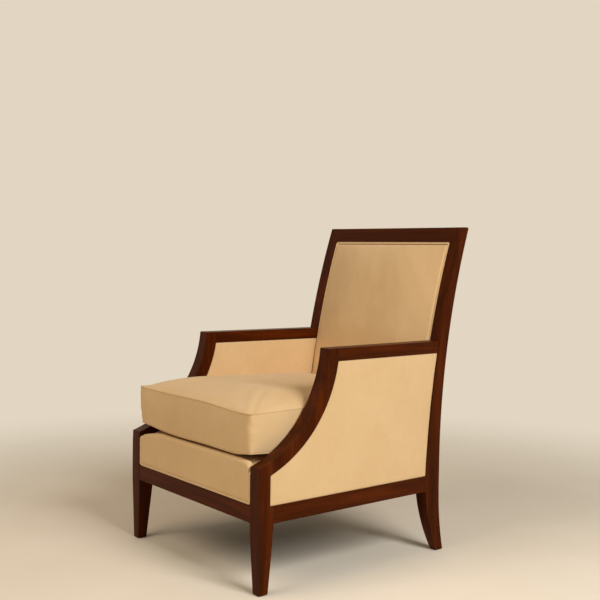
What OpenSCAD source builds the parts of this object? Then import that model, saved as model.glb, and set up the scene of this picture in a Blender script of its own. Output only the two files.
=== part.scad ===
// Lounge chair with a show-wood frame, upholstered panels and a loose seat cushion.
// Millimetres, +Z up, the sitter faces -Y, and the floor is Z = 0.
// X = 0 and Y = 0 are the middle of the chair's outline on the floor.
// Left and right are the sitter's: left is +X.

/* [Overall] */
// Width across the front legs
front_w = 660; // [620:5:720]
// How much narrower the chair is across the rear legs
rear_narrowing = 54; // [42:2:80]
// From the front of the front legs to the front of the rear legs, at the seat
seat_depth = 603; // [570:1:640]
// Height of the back
back_h = 941; // [900:1:990]
// Height of the arms
arm_h = 612; // [590:1:640]

/* [Wood frame] */
// Width of legs, arms and back stiles, seen from the front
member_w = 42; // [38:1:48]
// Depth of a front leg, up to the top of the seat rail
leg_d = 46; // [40:1:48]
// Depth of a front leg above the seat rail, beside the panel
post_d = 34.5; // [32:0.5:37]
// Width of a front foot
foot_w = 27; // [24:1:34]
// Taper of the outer faces of a leg, at the floor
foot_inset = 4; // [0:1:8]
// Height of the nose where the arm meets the front leg
nose_z = 324; // [318:1:332]
// Height of the joint between front leg and arm support
heel_z = 303; // [298:0.5:310]
// How far back the arm ends in front
arm_front_y = 227; // [205:1:250]
// Thickness of the arm support under the arm
support_t = 32; // [28:1:38]
// Radius of the arm support's front curve
sweep_front_r = 333; // [300:1:400]
// Radius of the arm support's rear curve
sweep_back_r = 352; // [320:1:420]
// Thickness of the arm
arm_t = 34; // [28:1:40]
// Height of the crest rail
crest_h = 44; // [36:1:60]

/* [Rear legs] */
// Depth of a rear leg at the seat
rear_leg_d = 52; // [50:1:60]
// How far the front of the back leans at the top
back_rake = 134.5; // [110:0.5:160]
// Depth of the back stile at the top
stile_top_d = 20.5; // [20:0.5:26]
// Radius of the stile's front curve
stile_front_r = 2600; // [1800:10:3400]
// Radius of the stile's rear curve
stile_back_r = 2250; // [1700:10:3000]
// How far the foot sweeps back, in front
sweep = 51; // [35:1:65]
// Depth of a rear foot
rear_foot_d = 25; // [22:1:34]
// Width of a rear foot
rear_foot_w = 24; // [20:1:30]
// Radius of the rear leg's front curve
leg_front_r = 440; // [340:10:700]
// Radius of the rear leg's rear curve
leg_back_r = 850; // [600:10:1200]

/* [Seat rails] */
// Top of the show-wood seat rail
rail_top = 225; // [215:1:235]
// Height of the seat rail
rail_h = 45; // [40:1:52]
// Thickness of the seat rail
rail_t = 28; // [24:1:32]
// Height of the hidden spring rail on it
spring_rail_h = 71; // [60:1:74]
// Thickness of the hidden spring rails
spring_rail_t = 28; // [24:1:28]
// Height of the lower back rail
back_rail_h = 45; // [35:1:60]
// Thickness of the lower back rail
back_rail_t = 20; // [18:1:24]
// Length of the mortise and tenon joints
tenon = 20; // [14:1:22]
// Thickness of the tenons
tenon_t = 10; // [8:1:12]
// Dowel diameter
dowel_d = 10; // [8:1:12]
// Length of a dowel
dowel_l = 38; // [30:1:40]
// Side of a corner block
block_s = 72; // [60:1:90]
// Height of a corner block
block_h = 34; // [28:1:38]

/* [Upholstery] */
// Recess of the outer panels in the frame
panel_recess = 1.5; // [0.5:0.5:3]
// Thickness of the outer panels
panel_t = 8; // [6:1:9]
// Width of the battens that hold the panels
batten_w = 12; // [8:1:16]
// Thickness of the battens in the arms
batten_t = 14; // [12:0.5:15]
// Recess of the inside arm panels in the frame
inner_recess = 2; // [1:0.5:4]
// Thickness of the webbing
web_t = 1.6; // [1:0.1:2]
// Width of a webbing strap
web_w = 50; // [40:1:60]
// Seat straps from front to back
straps_long = 7; // [5:1:7]
// Seat straps from side to side
straps_cross = 7; // [4:1:8]
// Straps in each arm
straps_arm = 4; // [3:1:5]
// Straps in the back
straps_back = 6; // [4:1:7]
// Width of the double welt
welt_w = 7; // [5:0.5:9]
// Depth of the welt
welt_d = 4; // [3:0.5:5]
// Thickness of the seat deck pad
deck_t = 36.5; // [28:0.5:40]
// Thickness of the front panel
front_panel_t = 13; // [10:1:14]
// Thickness of the inside back pad at its edge
back_pad_t = 9; // [8:0.5:10]
// Crown of the inside back pad
back_crown = 13; // [6:1:20]
// Corner radius of the inside back pad
back_corner_r = 9; // [6:1:14]
// Corner radius of the front panel
panel_corner_r = 9; // [4:1:14]
// How far the top of the front panel drops at its ends
panel_drop = 15; // [8:1:20]
// Length over which it drops
panel_drop_run = 85; // [50:1:120]
// Radius of the roll along the top of the front panel
panel_edge_r = 9; // [5:1:12]
// Thickness of the outside back panel
back_panel_t = 4.5; // [3:0.5:5]
// Thickness of the dust cover
dust_t = 1.2; // [1:0.1:2]

/* [Seat cushion] */
// Height of the cushion's boxing, seam to seam
boxing_h = 110; // [90:1:130]
// Rise of the crown above the top seam, at the front
top_crown = 38; // [24:1:50]
// How much less the crown rises at the back
crown_fall = 18; // [0:1:24]
// Drop of the bottom face below the bottom seam
bottom_crown = 11; // [8:1:16]
// Bulge of the boxing
boxing_bulge = 4; // [2:0.5:6]
// How far the sides are drawn in between the corners
side_draw = 3; // [1:0.5:6]
// Corner radius of the cushion
cushion_r = 18; // [8:1:30]
// Set-back of the cushion from the front of the legs
cushion_setback = 1; // [1:0.5:20]
// Room between cushion and frame at each side
cushion_room = 2; // [1:0.5:6]
// Thickness of the foam core
core_t = 90; // [70:1:110]
// Thickness of the fibre wrap beside the core
core_margin = 30; // [20:1:40]

/* [Hardware] */
// Screw shank diameter
screw_d = 4.5; // [4:0.5:6]
// Screw length
screw_l = 38; // [32:1:42]
// Screw head diameter
screw_head_d = 9; // [8:0.5:10]
// Screw head thickness
screw_head_t = 2.5; // [2:0.5:4]
// Foot glide diameter
glide_d = 18; // [14:1:20]
// Foot glide thickness
glide_t = 4.5; // [3:0.5:6]
// How far the glides stand out below the feet
glide_proud = 2.5; // [1:0.5:3]

/* [Clearances] */
// Glue line between wooden members
fit = 0.2; // [0.1:0.05:0.3]
// Room round upholstered pieces
soft_gap = 0.4; // [0.3:0.1:0.8]
// Room between the loose cushion and the deck
rest_gap = 0.3; // [0.3:0.1:0.6]

/* [Hidden] */

mahogany = "#4a2012";
hidden_wood = "#c9a877";
fabric = "#dcb98a";
straps = "#b99a6b";
foam = "#efe6c8";
steel = "#b8b8b4";
black_cloth = "#262423";
glide_colour = "#3a332d";

$fn = 64;
arc_fn = 720;

// Lengths that reach past every part, or past the piece they cut
far = 1200;
outside = 200;
beyond = 50;

rear_w = front_w - rear_narrowing;
rail_bottom = rail_top - rail_h;
arm_under = arm_h - arm_t;
support_back_y = arm_front_y + support_t;
crest_under = back_h - crest_h;
flat_low = rail_bottom - 4;
flat_high = rail_top + 3;
back_flat_low = rail_top - 22;
back_flat_high = rail_top + 49;
taper = atan(rear_narrowing / 2 / seat_depth);
side_slope = tan(taper);
inner_rear_x = rear_w / 2 - member_w;

// Centre of an arc of radius r from p to q, to the left of the way from p to q if side is 1
function arc_center(p, q, r, side) =
    let (way = q - p, half = norm(way) / 2, left = [-way.y, way.x] / norm(way))
    (p + q) / 2 + side * left * sqrt(r * r - half * half);

// Outlines in the (Y, Z) plane are drawn with Y measured from the front of the front legs
front_curve = arc_center([0, nose_z], [arm_front_y, arm_h], sweep_front_r, 1);
back_curve = arc_center([post_d, heel_z], [support_back_y, arm_under], sweep_back_r, 1);
stile_front = arc_center([seat_depth, flat_high], [seat_depth + back_rake, back_h], stile_front_r, -1);
stile_back_top_y = seat_depth + back_rake + stile_top_d;
leg_back_y = seat_depth + rear_leg_d;
stile_back = arc_center([leg_back_y, back_flat_high], [stile_back_top_y, back_h], stile_back_r, -1);
leg_front = arc_center([seat_depth, flat_low], [seat_depth + sweep, 0], leg_front_r, 1);
leg_back = arc_center([leg_back_y, back_flat_low], [seat_depth + sweep + rear_foot_d, 0], leg_back_r, 1);

// Front of the back stile at height z, and the inner face of an arm at y
function stile_y(z) = stile_front.x - sqrt(pow(stile_front_r, 2) - pow(z - stile_front.y, 2));
function stile_back_y(z) = stile_back.x - sqrt(pow(stile_back_r, 2) - pow(z - stile_back.y, 2));
function side_x(y, depth) = front_w / 2 - depth / cos(taper) - side_slope * y;

// Depths inside a chair side, from its outer face
panel_in = panel_recess + panel_t;
batten_out = panel_in + fit;
batten_in = batten_out + batten_t;
strap_in = batten_in + web_t;
pad_out = strap_in + fit;
pad_in = member_w - inner_recess;
spring_in = batten_out + spring_rail_t;

strap_end = 2;

// Heights of the seat
spring_top = rail_top + spring_rail_h;
side_spring_top = spring_top + web_t;
webbing_top = side_spring_top + web_t;
deck_bottom = webbing_top + fit;
deck_top = deck_bottom + deck_t;
cushion_bottom = deck_top + rest_gap;
bottom_seam = cushion_bottom + bottom_crown;
top_seam = bottom_seam + boxing_h;
back_pad_bottom = deck_top + soft_gap;
back_rail_bottom = back_pad_bottom;
reveal = 0.5;
rear_rail_recess = 2;
rear_spring_recess = 12;
rear_rail_y = leg_back_y - rear_rail_recess - rail_t;
rear_spring_y = leg_back_y - rear_spring_recess - spring_rail_t;
front_spring_y = front_panel_t + 2 * reveal;

// Layers of the back, as depths behind the front of the stiles
back_web_out = back_pad_t + 2 * soft_gap;
back_web_in = back_web_out + web_t;
back_rail_front = back_web_in + fit;
crest_lean = asin((crest_under - stile_front.y) / stile_front_r);
crest_d = (stile_back_y(crest_under) - stile_y(crest_under)) * cos(crest_lean);
back_batten_t = crest_d - back_panel_t - reveal - fit - back_rail_front - soft_gap;

// The whole chair is drawn with its front at Y = 0, then moved to the middle of its outline
half_depth = stile_back_top_y / 2;
module placed() { translate([0, -half_depth, 0]) children(); }
module mirrored(left) { mirror([left ? 0 : 1, 0, 0]) children(); }
module both() { children(); mirror([1, 0, 0]) children(); }
module across(x0, x1) { translate([x0, 0, 0]) rotate([90, 0, 90]) linear_extrude(x1 - x0) children(); }
module up(z0, z1) { translate([0, 0, z0]) linear_extrude(z1 - z0) children(); }

// Space between two depths inside the left side, which narrows toward the rear
module side_slab(depth0, depth1) {
    translate([front_w / 2, 0, 0]) rotate([0, 0, taper])
        translate([-depth1, -outside, -beyond]) cube([depth1 - depth0, far, far]);
}
module between_sides(gap) {
    difference() {
        translate([-far / 2, -outside, -beyond]) cube([far, far, far]);
        both() side_slab(-outside, member_w + gap);
    }
}

// Outlines in the (Y, Z) plane
module disc(center, r) { translate(center) circle(r = r, $fn = arc_fn); }
module box2(y0, z0, y1, z1) { translate([y0, z0]) square([y1 - y0, z1 - z0]); }

module rear_leg_outline() {
    difference() {
        union() {
            intersection() {
                disc(leg_front, leg_front_r);
                box2(0, glide_proud, far, flat_low);
            }
            box2(seat_depth, flat_low, leg_back_y + beyond, flat_high);
            intersection() {
                disc(stile_front, stile_front_r);
                box2(0, flat_high, far, back_h);
            }
        }
        intersection() {
            disc(leg_back, leg_back_r);
            box2(0, 0, 2 * far, back_flat_low);
        }
        box2(leg_back_y, back_flat_low, 2 * far, back_flat_high);
        intersection() {
            disc(stile_back, stile_back_r);
            box2(0, back_flat_high, 2 * far, far);
        }
        box2(stile_back_top_y + beyond, -beyond, 2 * far, far);
    }
}

module arm_support_outline() {
    difference() {
        intersection() {
            box2(0, heel_z + fit, support_back_y, arm_h);
            disc(back_curve, sweep_back_r);
        }
        disc(front_curve, sweep_front_r);
    }
}

// Opening of the side between leg, arm and stile, made smaller by a gap
module side_opening(gap) {
    difference() {
        box2(post_d + gap, rail_top + gap, far, arm_under - gap);
        disc(back_curve, sweep_back_r + gap);
        disc(stile_front, stile_front_r + gap);
        box2(seat_depth - gap, 0, 2 * far, flat_high);
        box2(seat_depth + back_rake, 0, 2 * far, far);
    }
}

// Slice of the back between two depths behind the stile's front face
module back_layer(depth0, depth1, z0, z1) {
    intersection() {
        difference() {
            disc(stile_front, stile_front_r - depth0);
            disc(stile_front, stile_front_r - depth1);
        }
        box2(0, z0, far, z1);
    }
}

// Dowels of the left side: post to support, support to arm, arm to stile
arm_mid_z = arm_h - arm_t / 2;
dowel_depths = [12, 30];
post_dowel_l = dowel_l - 2;
module side_dowels(slack) {
    stile_joint_y = stile_y(arm_mid_z);
    for (depth = dowel_depths) {
        translate([side_x(post_d / 2, depth), post_d / 2, heel_z - dowel_l / 2 - slack])
            cylinder(d = dowel_d + slack, h = post_dowel_l + 2 * slack);
        translate([side_x(support_back_y, depth), support_back_y - dowel_l / 2 - slack, arm_mid_z])
            rotate([-90, 0, 0]) cylinder(d = dowel_d + slack, h = dowel_l + 2 * slack);
        translate([side_x(stile_joint_y, depth), stile_joint_y - dowel_l / 2 - slack, arm_mid_z])
            rotate([-90, 0, 0]) cylinder(d = dowel_d + slack, h = dowel_l + 2 * slack);
    }
}

// Glides of the left side, let into the feet
rear_foot_y = seat_depth + sweep + (rear_foot_d - glide_proud) / 2;
module glides(slack) {
    translate([front_w / 2 - foot_inset - foot_w / 2, foot_inset + foot_w / 2, 0])
        cylinder(d = glide_d + slack, h = glide_t + slack);
    translate([rear_w / 2 - foot_inset - rear_foot_w / 2, rear_foot_y, 0])
        cylinder(d = glide_d + slack, h = glide_t + slack);
}

// Tenons, grown by the glue line where they are cut as mortises. Each starts inside its own rail,
// and the front and rear rails' are shorter, clear of the side rails'.
root = 6;
tenon_cheek = 8;
tenon_shoulder = 10;
short_tenon = tenon - 4;
rail_tenon_z = rail_bottom + tenon_shoulder;
rail_tenon_h = rail_h - 2 * tenon_shoulder;
module front_rail_tenon(slack) {
    translate([side_x(0, member_w) - root, tenon_cheek - slack, rail_tenon_z - slack])
        cube([root + short_tenon + slack, tenon_t + 2 * slack, rail_tenon_h + 2 * slack]);
}
module side_rail_tenons(slack) {
    intersection() {
        side_slab(tenon_cheek - slack, tenon_cheek + tenon_t + slack);
        union() {
            translate([0, leg_d - tenon - slack, rail_tenon_z - slack])
                cube([far, root + tenon + slack, rail_tenon_h + 2 * slack]);
            translate([0, seat_depth - root, rail_tenon_z - slack])
                cube([far, root + tenon + slack, rail_tenon_h + 2 * slack]);
        }
    }
}
module rear_rail_tenon(slack) {
    translate([inner_rear_x - root, rear_rail_y + (rail_t - tenon_t) / 2 - slack, rail_tenon_z - slack])
        cube([root + short_tenon + slack, tenon_t + 2 * slack, rail_tenon_h + 2 * slack]);
}
module back_rail_tenon(slack) {
    cheek = back_rail_front + (back_rail_t - tenon_t) / 2;
    across(inner_rear_x - root, inner_rear_x + tenon + slack)
        back_layer(cheek - slack, cheek + tenon_t + slack, back_rail_bottom + tenon_shoulder - slack,
            back_rail_bottom + back_rail_h - tenon_shoulder + slack);
}
crest_tenon_t = 8;
crest_cheek = 7;
module crest_tenon(slack) {
    across(inner_rear_x - root, inner_rear_x + tenon + slack)
        back_layer(crest_cheek - slack, crest_cheek + crest_tenon_t + slack,
            crest_under + tenon_shoulder - slack, back_h - tenon_shoulder + slack);
}

// Corner block screws: each block is screwed to both rails at its corner
screw_offset = block_s * 0.42;
screw_seat = 16;
head_room = 1;
block_end = 8;
block_over = 20;
front_block_y = rail_t + reveal + fit;
front_block_x = side_x(rail_t, rail_t) - fit;
rear_block_y = rear_rail_y - fit;
rear_block_x = side_x(rear_rail_y, rail_t) - fit;
block_z = rail_bottom + (rail_h - block_h) / 2;
module screw(slack) {
    cylinder(d = screw_d + slack, h = screw_l + slack);
    translate([0, 0, -screw_head_t]) cylinder(d = screw_head_d + slack, h = screw_head_t);
}
module screw_bore() {
    screw(fit);
    translate([0, 0, -block_s]) cylinder(d = screw_head_d + head_room, h = block_s);
}
module screw_places() {
    mid_z = block_z + block_h / 2;
    side_seat = rail_t + screw_seat;
    translate([front_block_x - screw_offset, front_block_y + screw_seat, mid_z])
        rotate([90, 0, 0]) children();
    translate([rear_block_x - screw_offset, rear_block_y - screw_seat, mid_z])
        rotate([-90, 0, 0]) children();
    for (y = [front_block_y + screw_offset, rear_block_y - screw_offset])
        translate([side_x(y, side_seat), y, mid_z]) rotate([0, 0, taper]) rotate([0, 90, 0]) children();
}

// Wooden members
module front_leg(left) {
    leg_inner_x = side_x(leg_d, member_w);
    color(mahogany) placed() mirrored(left) difference() {
        intersection() {
            side_slab(0, member_w);
            across(0, front_w) polygon([
                [foot_inset, glide_proud], [foot_inset + foot_w, glide_proud], [leg_d, rail_bottom],
                [leg_d, rail_top], [post_d, rail_top], [post_d, heel_z], [0, heel_z], [0, rail_bottom]
            ]);
            translate([0, leg_d + beyond, 0]) rotate([90, 0, 0]) linear_extrude(leg_d + 2 * beyond)
                polygon([
                    [front_w / 2 - foot_inset, glide_proud], [front_w / 2, rail_bottom],
                    [front_w / 2, heel_z], [leg_inner_x, heel_z], [leg_inner_x, rail_bottom],
                    [front_w / 2 - foot_inset - foot_w, glide_proud]
                ]);
        }
        glides(fit);
        side_dowels(fit);
        front_rail_tenon(fit);
        side_rail_tenons(fit);
    }
}

module rear_leg(left) {
    color(mahogany) placed() mirrored(left) difference() {
        intersection() {
            across(0, rear_w / 2) rear_leg_outline();
            translate([0, far, 0]) rotate([90, 0, 0]) linear_extrude(far) polygon([
                [rear_w / 2 - foot_inset, 0], [rear_w / 2, flat_low], [rear_w / 2, back_h],
                [inner_rear_x, back_h], [inner_rear_x, flat_low],
                [rear_w / 2 - foot_inset - rear_foot_w, 0]
            ]);
        }
        glides(fit);
        side_dowels(fit);
        side_rail_tenons(fit);
        rear_rail_tenon(fit);
        back_rail_tenon(fit);
        crest_tenon(fit);
    }
}

module arm_support(left) {
    color(mahogany) placed() mirrored(left) difference() {
        intersection() {
            side_slab(0, member_w);
            across(0, front_w) arm_support_outline();
        }
        side_dowels(fit);
    }
}

module arm(left) {
    color(mahogany) placed() mirrored(left) difference() {
        intersection() {
            side_slab(0, member_w);
            across(0, front_w) difference() {
                box2(support_back_y + fit, arm_under, seat_depth + back_rake, arm_h);
                disc(stile_front, stile_front_r + fit);
            }
        }
        side_dowels(fit);
    }
}

module crest_rail() {
    color(mahogany) placed() {
        across(-inner_rear_x + fit, inner_rear_x - fit) intersection() {
            rear_leg_outline();
            box2(0, crest_under, far, back_h);
        }
        both() crest_tenon(0);
    }
}

module lower_back_rail() {
    color(hidden_wood) placed() {
        across(-inner_rear_x + fit, inner_rear_x - fit)
            back_layer(back_rail_front, back_rail_front + back_rail_t,
                back_rail_bottom, back_rail_bottom + back_rail_h);
        both() back_rail_tenon(0);
    }
}

module front_seat_rail() {
    color(mahogany) placed() difference() {
        union() {
            intersection() {
                between_sides(fit);
                translate([-front_w / 2, reveal, rail_bottom]) cube([front_w, rail_t, rail_h]);
            }
            both() front_rail_tenon(0);
        }
        both() screw_places() screw_bore();
    }
}

module rear_seat_rail() {
    color(mahogany) placed() difference() {
        union() {
            translate([-inner_rear_x + fit, rear_rail_y, rail_bottom])
                cube([2 * (inner_rear_x - fit), rail_t, rail_h]);
            both() rear_rail_tenon(0);
        }
        both() screw_places() screw_bore();
    }
}

module side_seat_rail(left) {
    color(mahogany) placed() mirrored(left) difference() {
        union() {
            intersection() {
                side_slab(reveal, rail_t);
                translate([0, leg_d + fit, rail_bottom])
                    cube([front_w, seat_depth - leg_d - 2 * fit, rail_h]);
            }
            side_rail_tenons(0);
        }
        screw_places() screw_bore();
    }
}

module front_spring_rail() {
    color(hidden_wood) placed() intersection() {
        between_sides(fit);
        translate([-front_w / 2, front_spring_y, rail_top]) cube([front_w, spring_rail_t, spring_rail_h]);
    }
}

module rear_spring_rail() {
    color(hidden_wood) placed()
        translate([-inner_rear_x + fit, rear_spring_y, rail_top])
            cube([2 * (inner_rear_x - fit), spring_rail_t, spring_rail_h]);
}

module side_spring_rail(left) {
    color(hidden_wood) placed() mirrored(left) intersection() {
        side_slab(batten_out, spring_in);
        across(0, front_w) intersection() {
            side_opening(fit);
            box2(0, rail_top, far, side_spring_top);
        }
        translate([0, 0, rail_top]) cube([far, seat_depth - fit, far]);
    }
}

// Battens line the arm opening in three lengths that butt at the top
module arm_battens(left) {
    top_z = arm_under - fit - batten_w;
    color(hidden_wood) placed() mirrored(left) intersection() {
        side_slab(batten_out, batten_in);
        across(0, front_w) {
            intersection() {
                side_opening(fit);
                box2(0, top_z, far, arm_under);
            }
            intersection() {
                side_opening(fit);
                disc(back_curve, sweep_back_r + batten_w);
                box2(0, side_spring_top + fit, support_back_y + beyond, top_z - fit);
            }
            intersection() {
                side_opening(fit);
                disc(stile_front, stile_front_r + batten_w);
                box2(0, side_spring_top + fit, far, top_z - fit);
            }
        }
    }
}

// Battens on the stiles and under the crest, behind the inside back
module back_battens() {
    low_z = back_rail_bottom + back_rail_h + fit;
    top_z = crest_under - fit - batten_w;
    color(hidden_wood) placed() {
        across(-inner_rear_x + fit, inner_rear_x - fit)
            back_layer(back_rail_front, back_rail_front + back_batten_t, top_z, crest_under - fit);
        both() across(inner_rear_x - fit - batten_w, inner_rear_x - fit)
            back_layer(back_rail_front, back_rail_front + back_batten_t, low_z, top_z - fit);
    }
}

module corner_blocks() {
    color(hidden_wood) placed() both() difference() {
        up(block_z, block_z + block_h) {
            polygon([
                [front_block_x + block_over, front_block_y], [front_block_x - block_s, front_block_y],
                [front_block_x - block_s, front_block_y + block_end],
                [front_block_x - block_end, front_block_y + block_s],
                [front_block_x + block_over, front_block_y + block_s]
            ]);
            polygon([
                [rear_block_x + block_over, rear_block_y], [rear_block_x - block_s, rear_block_y],
                [rear_block_x - block_s, rear_block_y - block_end],
                [rear_block_x - block_end, rear_block_y - block_s],
                [rear_block_x + block_over, rear_block_y - block_s]
            ]);
        }
        side_slab(-outside, rail_t + fit);
        difference() {
            side_slab(-outside, member_w + fit);
            translate([0, leg_d + fit, 0]) cube([far, far, far]);
        }
        translate([inner_rear_x - fit, seat_depth - fit, 0]) cube([far, far, far]);
        screw_places() screw_bore();
    }
}

module corner_screws() { color(steel) placed() both() screw_places() screw(0); }

module joint_dowels() { color(hidden_wood) placed() both() side_dowels(0); }

module foot_glides() { color(glide_colour) placed() both() glides(0); }

// Webbing, with the straps spread evenly between the first and the last
module seat_webbing_long() {
    edge = 28;
    reach = inner_rear_x - edge - web_w / 2;
    step = 2 * reach / (straps_long - 1);
    y0 = front_spring_y + strap_end;
    y1 = rear_spring_y + spring_rail_t - strap_end;
    color(straps) placed() for (i = [0:straps_long - 1])
        translate([-reach + i * step - web_w / 2, y0, spring_top]) cube([web_w, y1 - y0, web_t]);
}

module seat_webbing_cross() {
    edge = 24;
    first = post_d + edge;
    last = seat_depth - edge - web_w;
    step = (last - first) / (straps_cross - 1);
    color(straps) placed() intersection() {
        difference() {
            translate([-far / 2, 0, 0]) cube([far, far, far]);
            both() side_slab(-outside, pad_out);
        }
        for (i = [0:straps_cross - 1])
            translate([-front_w / 2, first + i * step, side_spring_top]) cube([front_w, web_w, web_t]);
    }
}

module arm_webbing(left) {
    first = post_d + 88;
    last = seat_depth - 64 - web_w;
    step = (last - first) / (straps_arm - 1);
    color(straps) placed() mirrored(left) intersection() {
        side_slab(batten_in, strap_in);
        across(0, front_w) intersection() {
            side_opening(2 * strap_end);
            union() for (i = [0:straps_arm - 1])
                box2(first + i * step, side_spring_top + fit, first + i * step + web_w, arm_under);
        }
    }
}

module back_webbing() {
    first = back_rail_bottom + 12;
    last = crest_under - 38 - web_w;
    step = (last - first) / (straps_back - 1);
    color(straps) placed() for (i = [0:straps_back - 1])
        across(-inner_rear_x + strap_end, inner_rear_x - strap_end)
            back_layer(back_web_out, back_web_in, first + i * step, first + i * step + web_w);
}

// Upholstered panels
module deck_pad() {
    deck_y = front_panel_t + reveal + soft_gap;
    color(fabric) placed() difference() {
        intersection() {
            between_sides(soft_gap);
            translate([-front_w / 2, deck_y, deck_bottom])
                cube([front_w, rear_spring_y + spring_rail_t - deck_y, deck_t]);
        }
        both() translate([inner_rear_x - soft_gap, seat_depth - soft_gap, 0]) cube([far, far, far]);
    }
}

// The welt runs up both posts and along the rail, and the panel fills what is left
module front_panel() {
    half = side_x(0, member_w) - soft_gap - welt_w;
    end_top = deck_top - panel_drop;
    low = rail_top + welt_w + 2 * soft_gap;
    color(fabric) placed() intersection() {
        between_sides(soft_gap + welt_w);
        translate([0, front_panel_t + reveal, 0]) rotate([90, 0, 0]) linear_extrude(front_panel_t) {
            polygon([for (s = [-1, 1]) each [
                [s * half, s < 0 ? end_top - panel_corner_r : low],
                [s * half, s < 0 ? low : end_top - panel_corner_r],
                if (s > 0) [half - panel_corner_r, end_top],
                if (s > 0) [half - panel_drop_run, deck_top],
                if (s > 0) [panel_drop_run - half, deck_top],
                if (s > 0) [panel_corner_r - half, end_top]
            ]]);
            for (s = [-1, 1]) translate([s * (half - panel_corner_r), end_top - panel_corner_r])
                circle(r = panel_corner_r);
        }
        across(-front_w / 2, front_w / 2) {
            box2(reveal, rail_top, far, deck_top - panel_edge_r);
            box2(reveal + panel_edge_r, rail_top, far, deck_top);
            translate([reveal + panel_edge_r, deck_top - panel_edge_r]) circle(r = panel_edge_r);
        }
    }
}

welt_recess = 1.5;
module front_panel_welt() {
    top = deck_top - panel_drop - panel_corner_r;
    inner_half = side_x(0, member_w) - soft_gap - welt_w + fit;
    color(fabric) placed() intersection() {
        between_sides(soft_gap);
        translate([0, welt_recess + welt_d, 0]) rotate([90, 0, 0]) linear_extrude(welt_d) difference() {
            translate([-front_w / 2, rail_top + soft_gap]) square([front_w, top - rail_top - soft_gap]);
            translate([-inner_half, rail_top + soft_gap + welt_w]) square([2 * inner_half, far]);
        }
    }
}

module outside_arm(left) {
    color(fabric) placed() mirrored(left) intersection() {
        side_slab(panel_recess, panel_in);
        across(0, front_w) side_opening(soft_gap);
    }
}

module inside_arm(left) {
    color(fabric) placed() mirrored(left) intersection() {
        side_slab(pad_out, pad_in);
        across(0, front_w) intersection() {
            side_opening(soft_gap);
            box2(0, webbing_top + soft_gap, far, far);
        }
    }
}

module outside_back() {
    color(fabric) placed() across(-inner_rear_x + soft_gap, inner_rear_x - soft_gap) difference() {
        intersection() {
            union() {
                intersection() {
                    disc(stile_back, stile_back_r + back_panel_t + reveal);
                    box2(0, back_flat_high, 2 * far, crest_under - soft_gap);
                }
                box2(leg_back_y - back_panel_t - reveal, rail_top + soft_gap, 2 * far, back_flat_high);
            }
            box2(seat_depth, rail_top, stile_back_top_y, crest_under - soft_gap);
        }
        intersection() {
            disc(stile_back, stile_back_r + reveal);
            box2(0, back_flat_high, 2 * far, far);
        }
        box2(leg_back_y - reveal, 0, 2 * far, back_flat_high);
    }
}

module back_welt() {
    outer = inner_rear_x - soft_gap;
    top = crest_under - soft_gap;
    color(fabric) placed() {
        both() across(outer - welt_w, outer)
            back_layer(welt_recess, welt_recess + welt_d, back_pad_bottom, top);
        across(-outer + welt_w, outer - welt_w)
            back_layer(welt_recess, welt_recess + welt_d, top - welt_w, top);
    }
}

module dust_cover() {
    edge = 6;
    room = 1;
    color(black_cloth) placed() difference() {
        intersection() {
            translate([-front_w / 2, edge, rail_bottom - dust_t])
                cube([front_w, rear_rail_y + rail_t - 2 * edge, dust_t]);
            difference() {
                translate([-far / 2, 0, 0]) cube([far, far, far]);
                both() side_slab(-outside, edge);
            }
        }
        both() {
            intersection() {
                side_slab(-outside, member_w + room);
                cube([far, leg_d + room, far]);
            }
            translate([inner_rear_x - room, seat_depth - room, 0]) cube([far, far, far]);
        }
    }
}

// Crowned pads: rings of points follow an outline, scaled toward its middle
function rounded_side(p, q, r, n, draw) =
    let (way = (q - p) / norm(q - p), start = p + way * r, stop = q - way * r, inward = [-way.y, way.x])
    [for (i = [1:n - 1]) let (f = i / n) start * (1 - f) + stop * f + inward * draw * sin(180 * f)];
function corner_arc(p, q, s, r, n) =
    let (in = (q - p) / norm(q - p), out = (s - q) / norm(s - q), start = q - in * r, stop = q + out * r)
    [for (i = [0:n]) let (f = i / n) start * pow(1 - f, 2) + 2 * q * f * (1 - f) + stop * pow(f, 2)];
function soft_outline(corners, r, sides, arcs, draw) = [
    for (k = [0:3]) let (p = corners[k], q = corners[(k + 1) % 4], s = corners[(k + 2) % 4])
        each concat(rounded_side(p, q, r, sides, draw), corner_arc(p, q, s, r, arcs))
];
function ring_faces(rings, n) = concat(
    [for (i = [0:n - 1]) [0, 1 + (i + 1) % n, 1 + i]],
    [for (k = [0:rings - 2], i = [0:n - 1])
        let (a = 1 + k * n + i, b = 1 + k * n + (i + 1) % n) each [[a, b, b + n], [a, b + n, a + n]]],
    [for (i = [0:n - 1]) [1 + rings * n, 1 + (rings - 1) * n + i, 1 + (rings - 1) * n + (i + 1) % n]]
);

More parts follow.
